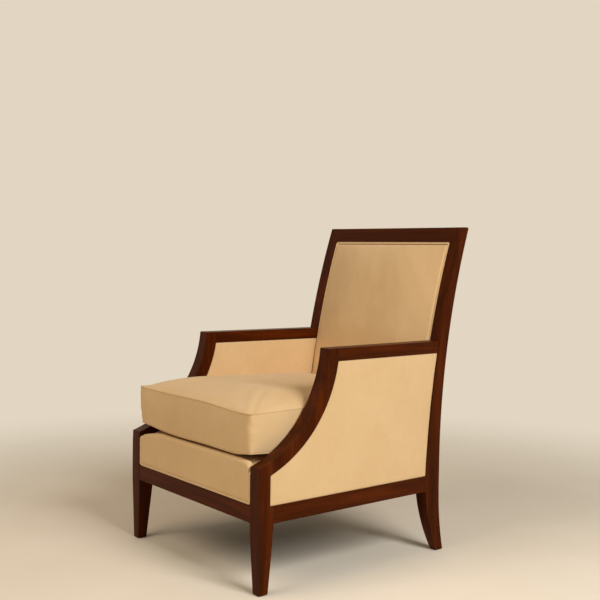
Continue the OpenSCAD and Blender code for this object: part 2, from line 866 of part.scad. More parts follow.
// Cushion: steps of scale, bulge, height and fall to the back, from the middle of the bottom to the
// middle of the top
cushion_back_room = 3;
cushion_back_y = stile_y(top_seam) - back_crown - cushion_back_room;
cushion_half_front = side_x(cushion_setback, member_w) - cushion_room - boxing_bulge;
cushion_half_rear = side_x(cushion_back_y, member_w) - cushion_room - boxing_bulge;
cushion_y0 = cushion_setback + boxing_bulge;
cushion_y1 = cushion_back_y - boxing_bulge;
cushion_mid = [0, (cushion_y0 + cushion_y1) / 2];
cushion_corners = [
    [-cushion_half_front, cushion_y0], [cushion_half_front, cushion_y0],
    [cushion_half_rear, cushion_y1], [-cushion_half_rear, cushion_y1]
];
side_steps = 9;
arc_steps = 5;
top_steps = 7;
boxing_steps = 6;
bottom_scales = [0.45, 0.8, 0.93];
bottom_power = 14;
top_power = 8;
top_ease = 1.5;
last_step = 0.6;
module seat_cushion_body() {
    outline = soft_outline(cushion_corners, cushion_r, side_steps, arc_steps, side_draw);
    n = len(outline);
    bottom = [for (s = bottom_scales) [s, 0, cushion_bottom + bottom_crown * pow(s, bottom_power), 0]];
    boxing = [for (i = [0:boxing_steps]) let (f = i / boxing_steps)
        [1, boxing_bulge * sin(180 * f), bottom_seam + boxing_h * f, 0]];
    top = [for (i = [1:top_steps])
        let (s = 1 - pow(i / (top_steps + last_step), top_ease), rise = 1 - pow(s, top_power))
        [s, 0, top_seam + top_crown * rise, crown_fall * rise]];
    rings = concat(bottom, boxing, top);
    points = concat(
        [[cushion_mid.x, cushion_mid.y, cushion_bottom]],
        [for (ring = rings, p = outline)
            let (away = p - cushion_mid, q = cushion_mid + away * ring[0] + away / norm(away) * ring[1],
                back = (q.y - cushion_y0) / (cushion_y1 - cushion_y0))
            [q.x, q.y, ring[2] - ring[3] * back]],
        [[cushion_mid.x, cushion_mid.y, top_seam + top_crown - crown_fall / 2]]
    );
    polyhedron(points = points, faces = ring_faces(len(rings), n), convexity = 4);
}

core_bottom = cushion_bottom + (bottom_crown + boxing_h + top_crown - crown_fall - core_t) / 2;
module core_block(grow) {
    y0 = cushion_y0 + core_margin;
    y1 = cushion_y1 - core_margin;
    half = cushion_half_rear - core_margin;
    translate([-half - grow, y0 - grow, core_bottom - grow])
        cube([2 * (half + grow), y1 - y0 + 2 * grow, core_t + 2 * grow]);
}

module seat_cushion() {
    color(fabric) placed() difference() {
        seat_cushion_body();
        core_block(soft_gap);
    }
}

module cushion_core() { color(foam) placed() core_block(0); }

// Inside back: the same rings, laid on the curve of the stiles, with the crown forward
pad_back_scales = [0.35, 0.7, 1];
pad_front_scales = [1, 0.985, 0.95, 0.88, 0.76, 0.6, 0.42, 0.22];
pad_power = 5;
pad_recess = 2;
pad_draw = 1;
module inside_back() {
    inset = soft_gap + welt_w + 3 * fit;
    half = inner_rear_x - inset;
    z0 = back_pad_bottom;
    z1 = crest_under - inset;
    mid = [0, (z0 + z1) / 2];
    rise = back_crown + pad_recess - 1;
    outline = soft_outline([[-half, z0], [half, z0], [half, z1], [-half, z1]],
        back_corner_r, side_steps, arc_steps, pad_draw);
    n = len(outline);
    back = [for (s = pad_back_scales) [s, back_pad_t]];
    front = [for (s = pad_front_scales) [s, pad_recess - rise * (1 - pow(s, pad_power))]];
    rings = concat(back, front);
    points = concat(
        [[mid.x, stile_y(mid.y) + back_pad_t, mid.y]],
        [for (ring = rings, p = outline)
            let (q = mid + (p - mid) * ring[0]) [q.x, stile_y(q.y) + ring[1], q.y]],
        [[mid.x, stile_y(mid.y) + pad_recess - rise, mid.y]]
    );
    color(fabric) placed() polyhedron(points = points, faces = ring_faces(len(rings), n), convexity = 4);
}

front_leg(true);  // front_leg_left
front_leg(false);  // front_leg_right
rear_leg(true);  // rear_leg_left
rear_leg(false);  // rear_leg_right
arm_support(true);  // arm_support_left
arm_support(false);  // arm_support_right
arm(true);  // arm_left
arm(false);  // arm_right
crest_rail();
lower_back_rail();
front_seat_rail();
rear_seat_rail();
side_seat_rail(true);  // side_seat_rail_left
side_seat_rail(false);  // side_seat_rail_right
front_spring_rail();
rear_spring_rail();
side_spring_rail(true);  // side_spring_rail_left
side_spring_rail(false);  // side_spring_rail_right
arm_battens(true);  // arm_battens_left
arm_battens(false);  // arm_battens_right
back_battens();
corner_blocks();
corner_screws();
joint_dowels();
foot_glides();
seat_webbing_long();
seat_webbing_cross();
arm_webbing(true);  // arm_webbing_left
arm_webbing(false);  // arm_webbing_right
back_webbing();
deck_pad();
front_panel();
front_panel_welt();
outside_arm(true);  // outside_arm_left
outside_arm(false);  // outside_arm_right
inside_arm(true);  // inside_arm_left
inside_arm(false);  // inside_arm_right
inside_back();
back_welt();
outside_back();
dust_cover();
seat_cushion();
cushion_core();
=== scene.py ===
import math

import bmesh
import bpy
import numpy as np
from mathutils import Matrix, Vector
from mathutils.bvhtree import BVHTree


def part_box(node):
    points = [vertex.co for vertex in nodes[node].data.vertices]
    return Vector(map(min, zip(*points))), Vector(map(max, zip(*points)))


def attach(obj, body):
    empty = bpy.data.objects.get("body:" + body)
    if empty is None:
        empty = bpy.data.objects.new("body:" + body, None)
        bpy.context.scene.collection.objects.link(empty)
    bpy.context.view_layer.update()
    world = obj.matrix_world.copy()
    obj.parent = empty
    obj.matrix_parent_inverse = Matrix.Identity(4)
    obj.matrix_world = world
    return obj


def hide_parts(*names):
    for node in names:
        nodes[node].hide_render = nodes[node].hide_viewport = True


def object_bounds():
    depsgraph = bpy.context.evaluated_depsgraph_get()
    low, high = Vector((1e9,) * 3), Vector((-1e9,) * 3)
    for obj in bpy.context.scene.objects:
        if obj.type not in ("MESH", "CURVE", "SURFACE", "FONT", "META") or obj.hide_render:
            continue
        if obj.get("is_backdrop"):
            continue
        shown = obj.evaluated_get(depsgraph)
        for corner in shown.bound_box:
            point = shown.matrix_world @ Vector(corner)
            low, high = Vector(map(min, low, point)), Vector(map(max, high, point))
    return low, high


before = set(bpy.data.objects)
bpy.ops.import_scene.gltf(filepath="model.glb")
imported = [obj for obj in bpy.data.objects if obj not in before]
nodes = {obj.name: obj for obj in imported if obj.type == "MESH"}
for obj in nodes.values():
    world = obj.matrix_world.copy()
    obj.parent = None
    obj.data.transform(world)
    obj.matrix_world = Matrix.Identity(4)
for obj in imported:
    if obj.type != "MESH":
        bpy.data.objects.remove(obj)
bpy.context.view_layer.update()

scene = bpy.context.scene

# Sizes in metres, the same as in the CAD source. Y is from the front of the front legs.
FRONT_W = 0.660
REAR_W = 0.606
SEAT_DEPTH = 0.603
BACK_H = 0.941
MEMBER_W = 0.042
POST_D = 0.0345
HEEL_Z = 0.303
NOSE_Z = 0.324
ARM_FRONT_Y = 0.227
SUPPORT_BACK_Y = 0.259
ARM_UNDER = 0.578
ARM_H = 0.612
BACK_RAKE = 0.1345
STILE_TOP_D = 0.0205
REAR_LEG_D = 0.052
RAIL_TOP = 0.225
FLAT_HIGH = 0.228
BACK_FLAT_HIGH = 0.274
CREST_UNDER = 0.897
DECK_TOP = 0.3359
REVEAL = 0.0005
SOFT_GAP = 0.0004
REST_GAP = 0.0003
FLUSH = 0.001
WELT_W = 0.007
WELT_ROOM = 0.0003
HALF_DEPTH = (SEAT_DEPTH + BACK_RAKE + STILE_TOP_D) / 2
SLOPE = (FRONT_W - REAR_W) / 2 / SEAT_DEPTH
TAPER = math.atan(SLOPE)
INNER_REAR_X = REAR_W / 2 - MEMBER_W


def arc_center(p, q, r, side):
    """Centre of the arc of radius r from p to q, to the left of the way from p to q if side is 1."""
    way = np.subtract(q, p)
    half = np.linalg.norm(way) / 2
    left = np.array((-way[1], way[0])) / (2 * half)
    return np.add(p, q) / 2 + side * left * math.sqrt(r * r - half * half)


SUPPORT_R = 0.352
ARM_FRONT_R = 0.333
STILE_R = 2.600
STILE_BACK_R = 2.250
support_c = arc_center((POST_D, HEEL_Z), (SUPPORT_BACK_Y, ARM_UNDER), SUPPORT_R, 1)
arm_front_c = arc_center((0.0, NOSE_Z), (ARM_FRONT_Y, ARM_H), ARM_FRONT_R, 1)
stile_c = arc_center((SEAT_DEPTH, FLAT_HIGH), (SEAT_DEPTH + BACK_RAKE, BACK_H), STILE_R, -1)
stile_back_c = arc_center(
    (SEAT_DEPTH + REAR_LEG_D, BACK_FLAT_HIGH), (2 * HALF_DEPTH, BACK_H), STILE_BACK_R, -1)


def stile_y(z):
    """Front of the back stiles at height z."""
    return stile_c[0] - math.sqrt(STILE_R ** 2 - (z - stile_c[1]) ** 2)


def arm_front(z):
    """Front of the arm supports at height z."""
    if z <= NOSE_Z:
        return 0.0
    return arm_front_c[0] + math.sqrt(ARM_FRONT_R ** 2 - (z - arm_front_c[1]) ** 2)


def side_x(y, depth):
    """X of a surface inside the left side, at a depth from its outer face."""
    return FRONT_W / 2 - depth / math.cos(TAPER) - SLOPE * y


def spread(n):
    """Numbers from 0 to 1 that lie closer together near both ends."""
    return [0.5 - 0.5 * math.cos(math.pi * i / n) for i in range(n + 1)]


def roll(d, r):
    """Quarter circle that rises from 0 at an edge to 1 at a distance r from it."""
    return math.sqrt(max(0.0, 1 - (1 - min(max(d / r, 0.0), 1.0)) ** 2))


WAVE_LAYERS = 4
WAVE_PEAK = 2.4


def wave(x, y, seed):
    """Smooth uneven pattern between about -1 and 1, the same on every run.

    Each layer is a finer ripple than the one before, and is bent by a slower one."""
    total = 0.0
    for k in range(WAVE_LAYERS):
        turn = 1.7 * k + seed
        across = x * (31 + 17 * k) + 2.3 * math.sin(y * 19 + turn) + turn
        along = y * (27 + 13 * k) + 1.9 * math.sin(x * 23 - turn) - turn
        total += math.sin(across) * math.sin(along)
    return total / WAVE_PEAK


# Mesh building
def add_mesh(name, points, faces, body, material, slot):
    """A smooth piece with outward normals that rides on a body."""
    mesh = bpy.data.meshes.new(name)
    mesh.from_pydata([tuple(p) for p in points], [], faces)
    mesh.validate()
    bm = bmesh.new()
    bm.from_mesh(mesh)
    bmesh.ops.recalc_face_normals(bm, faces=bm.faces)
    bm.to_mesh(mesh)
    bm.free()
    mesh.polygons.foreach_set("use_smooth", [True] * len(mesh.polygons))
    mesh.materials.append(material)
    obj = bpy.data.objects.new(name, mesh)
    scene.collection.objects.link(obj)
    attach(obj, body)
    return obj


def grid_faces(n, m, start=0, flip=False):
    """Faces of a grid of (n + 1) rows by (m + 1) points."""
    faces = []
    for i in range(n):
        for j in range(m):
            a = start + i * (m + 1) + j
            face = (a, a + 1, a + m + 2, a + m + 1)
            faces.append(face[::-1] if flip else face)
    return faces


def slab(front, back):
    """Points and faces of a closed slab between two grids of points of the same size."""
    n, m = len(front) - 1, len(front[0]) - 1
    points = [p for row in front for p in row] + [p for row in back for p in row]
    size = (n + 1) * (m + 1)
    faces = grid_faces(n, m) + grid_faces(n, m, size, True)
    rim = [(0, j) for j in range(m + 1)] + [(i, m) for i in range(1, n + 1)]
    rim += [(n, j) for j in range(m - 1, -1, -1)] + [(i, 0) for i in range(n - 1, 0, -1)]
    for (i, j), (k, l) in zip(rim, rim[1:] + rim[:1]):
        a, b = i * (m + 1) + j, k * (m + 1) + l
        faces.append((b, a, a + size, b + size))
    return points, faces


def sweep(path, normals, profile, closed=False):
    """Points and faces of a profile of (across, out) offsets carried along a path."""
    n, k = len(path), len(profile)
    points = []
    for i in range(n):
        before = path[i - 1] if i or closed else path[i]
        after = path[(i + 1) % n] if i < n - 1 or closed else path[i]
        way = (after - before).normalized()
        out = (normals[i] - way * normals[i].dot(way)).normalized()
        across = way.cross(out)
        points += [path[i] + across * a + out * b for a, b in profile]
    faces = []
    for i in range(n if closed else n - 1):
        for j in range(k):
            a, b = i * k + j, i * k + (j + 1) % k
            c, d = (i + 1) % n * k + (j + 1) % k, (i + 1) % n * k + j
            faces.append((a, b, c, d))
    if not closed:
        faces.append(tuple(range(k))[::-1])
        faces.append(tuple(range((n - 1) * k, n * k)))
    return points, faces


def placed(x, y, z):
    """A point whose y is from the front of the front legs, in the part's frame."""
    return Vector((x, y - HALF_DEPTH, z))


# Materials
def linear(r, g, b):
    """Colour for a node from three screen levels of 0 to 255."""
    def one(c):
        c /= 255
        return c / 12.92 if c <= 0.04045 else ((c + 0.055) / 1.055) ** 2.4
    return (one(r), one(g), one(b), 1.0)


class Shader:
    """A node material with a Principled shader and short helpers for its inputs."""

    def __init__(self, name, **values):
        self.material = bpy.data.materials.new(name)
        self.material.use_nodes = True
        self.tree = self.material.node_tree
        self.bsdf = self.tree.nodes["Principled BSDF"]
        self.position = self.tree.nodes.new("ShaderNodeTexCoord").outputs["Object"]
        for key, value in values.items():
            self.bsdf.inputs[key.replace("_", " ")].default_value = value

    def link(self, output, key):
        self.tree.links.new(output, self.bsdf.inputs[key])

    def mapped(self, scale, rotation=(0, 0, 0)):
        node = self.tree.nodes.new("ShaderNodeMapping")
        node.inputs["Scale"].default_value = scale
        node.inputs["Rotation"].default_value = rotation
        self.tree.links.new(self.position, node.inputs["Vector"])
        return node.outputs["Vector"]

    def noise(self, vector, scale=1.0, detail=2.0, roughness=0.5, distortion=0.0):
        node = self.tree.nodes.new("ShaderNodeTexNoise")
        node.inputs["Scale"].default_value = scale
        node.inputs["Detail"].default_value = detail
        node.inputs["Roughness"].default_value = roughness
        node.inputs["Distortion"].default_value = distortion
        self.tree.links.new(vector, node.inputs["Vector"])
        return node.outputs["Fac"]

    def ramp(self, value, stops):
        node = self.tree.nodes.new("ShaderNodeValToRGB")
        while len(node.color_ramp.elements) < len(stops):
            node.color_ramp.elements.new(0.5)
        for element, (place, colour) in zip(node.color_ramp.elements, stops):
            element.position = place
            element.color = colour
        self.tree.links.new(value, node.inputs["Fac"])
        return node.outputs["Color"]

    def spanned(self, value, low, high):
        node = self.tree.nodes.new("ShaderNodeMapRange")
        node.inputs["To Min"].default_value = low
        node.inputs["To Max"].default_value = high
        self.tree.links.new(value, node.inputs["Value"])
        return node.outputs["Result"]

    def times(self, colour, other, amount):
        node = self.tree.nodes.new("ShaderNodeMix")
        node.data_type = "RGBA"
        node.blend_type = "MULTIPLY"
        node.inputs["Factor"].default_value = amount
        self.tree.links.new(colour, node.inputs[6])
        self.tree.links.new(other, node.inputs[7])
        return node.outputs[2]

    def bump(self, height, distance, strength=1.0, after=None):
        node = self.tree.nodes.new("ShaderNodeBump")
        node.inputs["Distance"].default_value = distance
        node.inputs["Strength"].default_value = strength
        self.tree.links.new(height, node.inputs["Height"])
        if after is not None:
            self.tree.links.new(after, node.inputs["Normal"])
        return node.outputs["Normal"]


WHITE = (1, 1, 1, 1)
GREY = [(0.0, (0, 0, 0, 1)), (1.0, WHITE)]
EVEN = (1, 1, 1)
# One wave of the wave texture is about two threads wide when its scale is 1 / (THREAD_SCALE * pitch)
THREAD_SCALE = 6.28


def wood_material(name, along, dark, mid, light, gloss, coat):
    """Timber whose grain runs along one axis: broad figure, fine streaks and open pores."""
    shader = Shader(name, Coat_Weight=coat, Coat_Roughness=0.20, Specular_IOR_Level=0.07,
                    Specular_Tint=(1.0, 0.48, 0.20, 1.0))

    def stretch(grain, cross):
        return shader.mapped(tuple(grain if axis == along else cross for axis in "xyz"))

    figure = shader.noise(stretch(grain=1.6, cross=26), detail=5.0, roughness=0.6, distortion=1.2)
    streaks = shader.noise(stretch(grain=5.0, cross=190), detail=3.0, roughness=0.6, distortion=0.3)
    pores = shader.noise(stretch(grain=38.0, cross=1150))
    colour = shader.ramp(figure, [(0.30, dark), (0.52, mid), (0.75, light)])
    tone = shader.ramp(streaks, [(0.30, (0.70, 0.64, 0.58, 1)), (0.62, WHITE)])
    pits = shader.ramp(pores, [(0.34, (0.45, 0.40, 0.36, 1)), (0.46, WHITE)])
    colour = shader.times(shader.times(colour, tone, amount=0.6), pits, amount=0.5)
    shader.link(colour, "Base Color")
    shader.link(shader.spanned(streaks, low=gloss + 0.10, high=gloss - 0.06), "Roughness")
    shader.link(shader.bump(shader.ramp(pores, GREY), distance=0.00012, strength=0.35), "Normal")
    return shader.material


def fabric_material(name, dark, light, sheen=0.35):
    """Napped microsuede: brushed patches, fine fibres and a soft sheen."""
    shader = Shader(name, Sheen_Weight=sheen, Sheen_Roughness=0.42, Sheen_Tint=(1.0, 0.93, 0.82, 1.0),
                    Specular_IOR_Level=0.12)
    patches = shader.noise(shader.mapped(EVEN), scale=6.0, detail=4.0, roughness=0.6, distortion=0.3)
    nap = shader.noise(shader.mapped(EVEN), scale=55.0, detail=4.0, roughness=0.6, distortion=0.2)
    fibres = shader.noise(shader.mapped(EVEN), scale=1500.0, roughness=0.6)
    colour = shader.ramp(patches, [(0.30, dark), (0.70, light)])
    brushed = shader.ramp(nap, [(0.30, (0.965, 0.96, 0.95, 1)), (0.70, WHITE)])
    fine = shader.ramp(fibres, [(0.30, (0.92, 0.91, 0.89, 1)), (0.60, WHITE)])
    colour = shader.times(shader.times(colour, brushed, amount=0.8), fine, amount=0.8)
    shader.link(colour, "Base Color")
    shader.link(shader.spanned(nap, low=0.84, high=0.97), "Roughness")
    soft = shader.bump(nap, distance=0.0005, strength=0.22)
    shader.link(shader.bump(fibres, distance=0.00025, strength=0.40, after=soft), "Normal")
    return shader.material


def woven_material(name, dark, light, pitch, roughness):
    """Plain weave seen as crossing threads, from two waves that multiply."""
    shader = Shader(name, Specular_IOR_Level=0.15)
    waves = []
    for turn in ((0, 0, 0), (0, 0, math.pi / 2)):
        node = shader.tree.nodes.new("ShaderNodeTexWave")
        node.inputs["Scale"].default_value = 1 / pitch / THREAD_SCALE
        node.inputs["Distortion"].default_value = 0.6
        node.inputs["Detail"].default_value = 1.0
        shader.tree.links.new(shader.mapped(EVEN, turn), node.inputs["Vector"])
        waves.append(node.outputs["Color"])
    threads = shader.times(waves[0], waves[1], amount=0.5)
    shader.link(shader.ramp(threads, [(0.05, dark), (0.7, light)]), "Base Color")
    rough = shader.noise(shader.mapped(EVEN), scale=300.0)
    shader.link(shader.spanned(rough, low=roughness - 0.08, high=min(1.0, roughness + 0.08)), "Roughness")
    shader.link(shader.bump(threads, distance=0.0004, strength=0.5), "Normal")
    return shader.material


def speckled_material(name, dark, light, scale, roughness, depth=0.0001, metallic=0.0):
    """Moulded plastic, plated steel or foam: an even colour broken by fine speckle."""
    shader = Shader(name, Metallic=metallic)
    specks = shader.noise(shader.mapped(EVEN), scale, detail=3.0, roughness=0.6)
    shader.link(shader.ramp(specks, [(0.35, dark), (0.65, light)]), "Base Color")
    shader.link(shader.spanned(specks, low=roughness - 0.05, high=roughness + 0.08), "Roughness")
    shader.link(shader.bump(specks, depth, strength=0.4), "Normal")
    return shader.material


MAHOGANY = (linear(52, 20, 3), linear(72, 28, 5), linear(97, 41, 9))
PALE_WOOD = (linear(186, 150, 106), linear(206, 174, 128), linear(222, 194, 150))
mahogany = {a: wood_material(f"mahogany_{a}", a, *MAHOGANY, gloss=0.36, coat=0.01) for a in "xyz"}
pale_wood = {a: wood_material(f"pale_wood_{a}", a, *PALE_WOOD, gloss=0.62, coat=0.0) for a in "xyz"}
suede = fabric_material("suede", linear(221, 187, 139), linear(227, 195, 148))
# The welt's suede is a lighter copy of the cover's suede, with more sheen: a painted highlight for the
# light that its cords catch.
suede_welt_painted_highlight = fabric_material("suede_welt_painted_highlight", linear(234, 202, 156), linear(239, 210, 166), sheen=0.45)
suede_seam = fabric_material("suede_seam", linear(219, 184, 135), linear(225, 192, 144), sheen=0.3)
webbing = woven_material(
    "webbing", linear(120, 96, 62), linear(186, 156, 110), pitch=0.0022, roughness=0.85)
cambric = woven_material(
    "cambric", linear(16, 15, 14), linear(46, 44, 42), pitch=0.0011, roughness=0.92)
foam = speckled_material(
    "foam", linear(226, 214, 178), linear(242, 234, 206), scale=900.0, roughness=0.9, depth=0.0004)
steel = speckled_material(
    "steel", linear(150, 150, 146), linear(190, 190, 186), scale=700.0, roughness=0.36, depth=0.00004,
    metallic=1.0)
glide = speckled_material(
    "glide", linear(34, 29, 25), linear(50, 44, 38), scale=1400.0, roughness=0.5)


# The show-wood members: the solids' own shapes with their sharp edges eased, as on real joinery
ARRIS = 0.0020
TOP_ROUND = 0.0065
FOOT_ROUND = {"front": 0.0042, "rear": 0.0026}
JOINT = 0.0007
FOOT_LAYER = 0.003
LONG_EDGE = 0.01
SHORT_EDGE = 0.003
SAME_POINT = 0.00002
SAME_PLANE = math.radians(0.4)
SHARP_CORNER = math.radians(24)
SMOOTH_BELOW = math.radians(36)
GRAIN = {
    "front_leg_left": "z", "front_leg_right": "z", "rear_leg_left": "z", "rear_leg_right": "z",
    "arm_support_left": "z", "arm_support_right": "z", "arm_left": "y", "arm_right": "y",
    "crest_rail": "x", "front_seat_rail": "x", "rear_seat_rail": "x",
    "side_seat_rail_left": "y", "side_seat_rail_right": "y",
}
trees = {}
for node in GRAIN:
    bm = bmesh.new()
    bm.from_mesh(nodes[node].data)
    trees[node] = BVHTree.FromBMesh(bm)
    bm.free()


def touches_another(node, point):
    """True where another member meets this one at the point."""
    for other, tree in trees.items():
        if other != node and tree.find_nearest(point, JOINT)[0] is not None:
            return True
    return False


def round_edges(bm, edges, radius, segments):
    """Round edges of a mesh to a radius, less where there is no room for it."""
    bmesh.ops.bevel(bm, geom=edges, offset=radius, offset_type="OFFSET", segments=segments, profile=0.5,
                    affect="EDGES", clamp_overlap=True)


def top_of_back(point):
    """True for a point of the upper rear edge of the crest and the stiles."""
    return point.z > BACK_H - FLUSH and point.y > HALF_DEPTH - FLUSH


def eased_member(node):
    """A copy of a wooden node with rounded edges, sharp only where two members meet."""
    bm = bmesh.new()
    bm.from_mesh(nodes[node].data)
    bmesh.ops.remove_doubles(bm, verts=bm.verts, dist=SAME_POINT)
    bmesh.ops.dissolve_limit(bm, angle_limit=SAME_PLANE, verts=bm.verts, edges=bm.edges)
    top_rear = [e for e in bm.edges if all(top_of_back(v.co) for v in e.verts)]
    if top_rear:
        round_edges(bm, top_rear, TOP_ROUND, 6)
    if "leg" in node:
        low = [e for e in bm.edges if all(v.co.z < FOOT_LAYER for v in e.verts)]
        under = [e for e in low if e.calc_length() > LONG_EDGE]
        round_edges(bm, under, FOOT_ROUND[node.split("_")[0]], 5)
    edges = []
    for edge in bm.edges:
        if len(edge.link_faces) != 2 or edge.calc_length() < SHORT_EDGE:
            continue
        if edge.calc_face_angle_signed() < SHARP_CORNER:
            continue
        middle = (edge.verts[0].co + edge.verts[1].co) / 2
        if not touches_another(node, middle):
            edges.append(edge)
    round_edges(bm, edges, ARRIS, 3)
    mesh = bpy.data.meshes.new(node + "_eased")
    bm.to_mesh(mesh)
    bm.free()
    mesh.polygons.foreach_set("use_smooth", [True] * len(mesh.polygons))
    mesh.set_sharp_from_angle(angle=SMOOTH_BELOW)
    mesh.materials.clear()
    mesh.materials.append(mahogany[GRAIN[node]])
    obj = bpy.data.objects.new(node + "_eased", mesh)
    scene.collection.objects.link(obj)
    weighted = obj.modifiers.new("face_normals", "WEIGHTED_NORMAL")
    weighted.keep_sharp = True
    weighted.weight = 60
    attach(obj, "frame")
    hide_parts(node)


for node in GRAIN:
    eased_member(node)

# Hidden pieces keep their solids and get their own materials
HIDDEN = {
    "lower_back_rail": pale_wood["x"], "back_battens": pale_wood["x"],
    "front_spring_rail": pale_wood["x"], "rear_spring_rail": pale_wood["x"],
    "side_spring_rail_left": pale_wood["y"], "side_spring_rail_right": pale_wood["y"],
    "arm_battens_left": pale_wood["y"], "arm_battens_right": pale_wood["y"],
    "corner_blocks": pale_wood["z"], "joint_dowels": pale_wood["y"], "corner_screws": steel,
    "foot_glides": glide, "seat_webbing_long": webbing, "seat_webbing_cross": webbing,
    "arm_webbing_left": webbing, "arm_webbing_right": webbing, "back_webbing": webbing,
    "dust_cover": cambric, "cushion_core": foam,
}
for node, material in HIDDEN.items():
    data = nodes[node].data
    data.materials.clear()
    data.materials.append(material)


# Cloth simulation: the cover swells between its pinned points
CLOTH_FRAMES = 20
CLOTH_TENSION = 12.0


def swell(obj, pinned, pressure, limit, extra):
    """Points of a cover under pressure. extra is how much cloth it has to spare, and limit the most
    that a point may move."""
    group = obj.vertex_groups.new(name="seams")
    group.add([int(i) for i in pinned], 1.0, "REPLACE")
    cloth = obj.modifiers.new("cloth", "CLOTH")
    cloth.settings.quality = 6
    cloth.settings.mass = 0.3
    cloth.settings.tension_stiffness = CLOTH_TENSION
    cloth.settings.compression_stiffness = CLOTH_TENSION
    cloth.settings.shear_stiffness = 4.0
    cloth.settings.bending_stiffness = 0.6
    cloth.settings.shrink_min = -extra
    cloth.settings.use_pressure = True
    cloth.settings.uniform_pressure_force = pressure
    cloth.settings.effector_weights.gravity = 0.0
    cloth.settings.vertex_group_mass = "seams"
    cloth.collision_settings.use_collision = False
    cloth.point_cache.frame_start = 1
    cloth.point_cache.frame_end = CLOTH_FRAMES
    for number in range(1, CLOTH_FRAMES + 1):
        scene.frame_set(number)
    shown = obj.evaluated_get(bpy.context.evaluated_depsgraph_get())
    moved = np.array([v.co for v in shown.data.vertices])
    rest = np.array([v.co for v in obj.data.vertices])
    obj.modifiers.remove(cloth)
    obj.vertex_groups.remove(group)
    scene.frame_set(1)
    shift = moved - rest
    length = np.linalg.norm(shift, axis=1, keepdims=True)
    shift *= np.tanh(length / limit) * limit / np.maximum(length, 1e-9)
    return rest + shift


def set_points(obj, points):
    """Move an object's points to new places."""
    obj.data.vertices.foreach_set("co", np.asarray(points, np.float32).ravel())
    obj.data.update()


# The deck gives a little under the cushion, and drops at its two front corners. Each end is a run and a
# drop, and near and far are as the photograph shows them: the near end is the sitter's left.
DECK_GIVE = 0.0020
FAR_END = (0.110, 0.019)
NEAR_END = (0.050, 0.004)
DECK_FAR_END = (0.150, 0.030)
DECK_NEAR_END = (0.100, 0.030)
DROP_POWER = 1.4
DROP_DEPTH = 0.110
GIVE_HALF_WIDTH = 0.285
GIVE_MIDDLE = 0.22
GIVE_HALF_DEPTH = 0.45


def deck_give(x, y):
    """How far the cushion presses the deck down at x and at y from the front."""
    beside = max(0.0, 1 - (x / GIVE_HALF_WIDTH) ** 2)
    return DECK_GIVE * beside * (1 - ((y - GIVE_MIDDLE) / GIVE_HALF_DEPTH) ** 2)


def end_drop(x, half, end):
    """How far the front edge of the deck drops near its ends, for a run and a drop."""
    past = max(0.0, abs(x) - (half - end[0])) / end[0]
    return end[1] * min(past, 1.0) ** DROP_POWER


# Seat cushion: a top, a deep boxing and a bottom on one even grid, with the seams on its edges
CUSHION_BOTTOM = DECK_TOP + REST_GAP
BOTTOM_RISE = 0.009
TOP_SEAM = CUSHION_BOTTOM + 0.121
TOP_CROWN = 0.034
CROWN_FALL = 0.015
CROWN_ROUND = 7
CROWN_SQUARE = 9
CROWN_SQUARE_POWER = 8
TOP_POWER = 9
BOTTOM_POWER = 9
CUSHION_Y0 = 0.005
BACK_CROWN = 0.013
REAR_ROOM = 0.007
SIDE_ROOM = 0.006
CUSHION_Y1 = stile_y(TOP_SEAM) - BACK_CROWN - REAR_ROOM
CUSHION_MID = (CUSHION_Y0 + CUSHION_Y1) / 2
HALF_FRONT = side_x(0.001, MEMBER_W) - SIDE_ROOM
HALF_REAR = side_x(CUSHION_Y1, MEMBER_W) - SIDE_ROOM
SIDE_DRAW = 0.003
BULGE = 0.005
SEAM_CORNER = 60
BOXING_CORNER = 36
BOXING_ROUNDING = 1.3
# The far front corner is pulled out and forward at the top, and by a share of that at the bottom
CORNER_PULL = (0.0125, 0.0030)
CORNER_PULL_LOW = 0.3
CORNER_BULGE = 0.0015
TOP_UNEVEN = 0.0012
SIDE_UNEVEN = 0.0009
PULL_RUN = 0.24
SEAM_REACH = 0.3
BOTTOM_REACH = 0.25
PRESSURE = 4.0
MOST_SWELL = 0.007
SPARE_CLOTH = 0.0005
ARM_NEAR = 0.003
ARM_CLEAR = 0.0012
BACK_CLEAR = 0.0015
CELLS = 96
BOX_CELLS = 20


def near(value, place, width):
    """1 where the value is at the place, and less the farther it is, for a width."""
    return math.exp(-((value - place) / width) ** 2)


def far_corner(u, v):
    """1 at the right front corner, which is pulled out in front of the arm, and 0 away from it."""
    return near(u, -1, PULL_RUN) * near(v, -1, PULL_RUN)


def cushion_outline(u, v, sharp, low=0.0):
    """Point of the cushion's plan for u and v from -1 to 1, with low from 0 at the top to 1 below.

    The corners are rounder where sharp is low."""
    reach = max(abs(u), abs(v))
    if reach > 0:
        shrink = (abs(u / reach) ** sharp + abs(v / reach) ** sharp) ** (-1 / sharp)
        u, v = u * shrink, v * shrink
    half = HALF_FRONT + (HALF_REAR - HALF_FRONT) * (v + 1) / 2
    x = half * u - SIDE_DRAW * u * math.cos(v * math.pi / 2)
    y = CUSHION_MID + (CUSHION_Y1 - CUSHION_Y0) / 2 * v - SIDE_DRAW * v * math.cos(u * math.pi / 2)
    pull = far_corner(u, v) * (1 - (1 - CORNER_PULL_LOW) * low)
    return x - CORNER_PULL[0] * pull, y - CORNER_PULL[1] * pull


